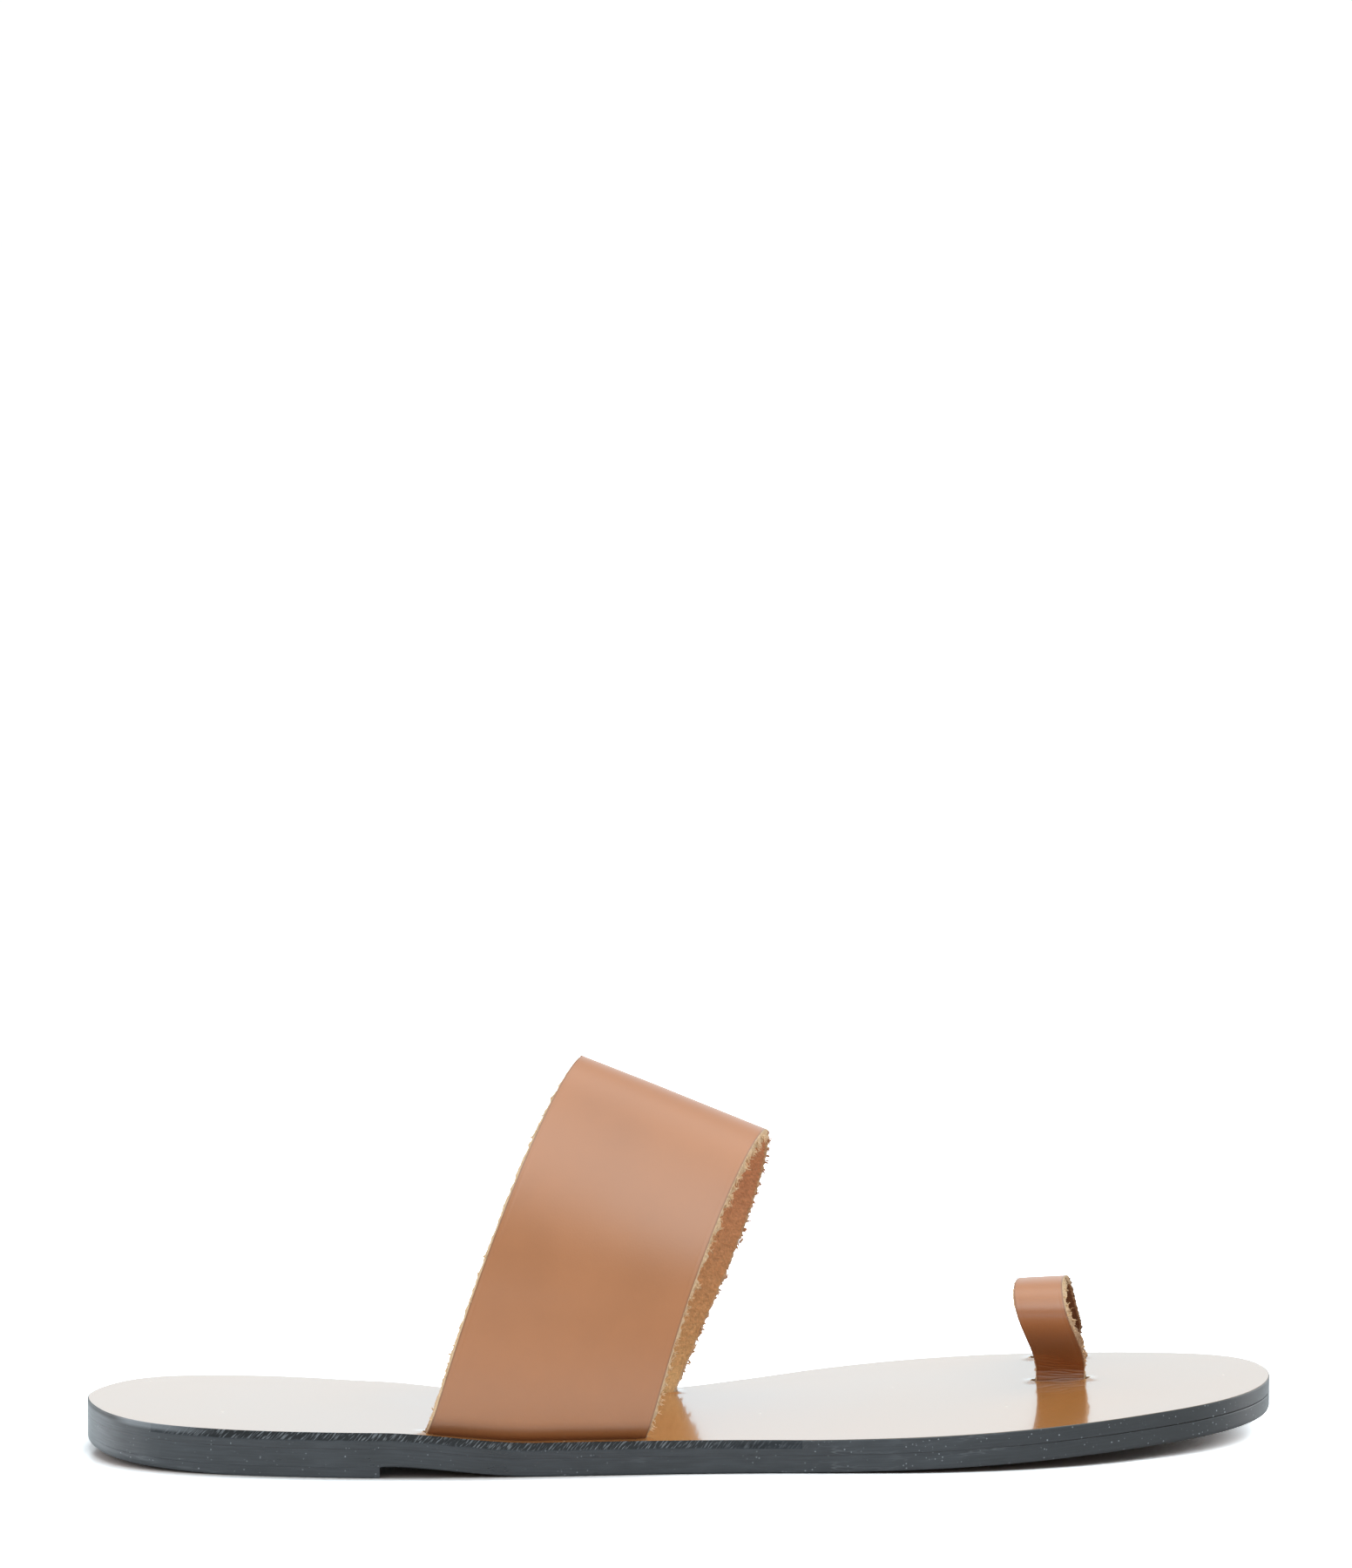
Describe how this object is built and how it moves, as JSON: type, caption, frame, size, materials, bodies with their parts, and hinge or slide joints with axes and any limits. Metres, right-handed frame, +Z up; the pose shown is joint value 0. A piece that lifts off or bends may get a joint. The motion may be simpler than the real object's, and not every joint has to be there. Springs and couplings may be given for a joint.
{
  "type": "slide sandal",
  "caption": "Flat backless leather sandal: a thin black-edged sole, a wide strap over the instep and a narrow loop for the big toe.",
  "frame": {"origin": "on the floor, under the middle of the sandal's box", "axes": "+X to the toe, +Y to the inner side of the foot, +Z up"},
  "size_m": [0.2505, 0.0887, 0.0828],
  "materials": {
    "sole_leather": "natural brown underneath, edge painted black",
    "footbed_leather": "polished tan, edge painted black",
    "heel_rubber": "matt black",
    "strap_leather": "smooth tan grain outside, suede inside, raw cut edges"
  },
  "bodies": {
    "root": {"outsole": "sole_leather", "insole": "footbed_leather", "heel_lift": "heel_rubber", "instep_strap": "strap_leather", "toe_loop": "strap_leather"}
  },
  "joints": []
}
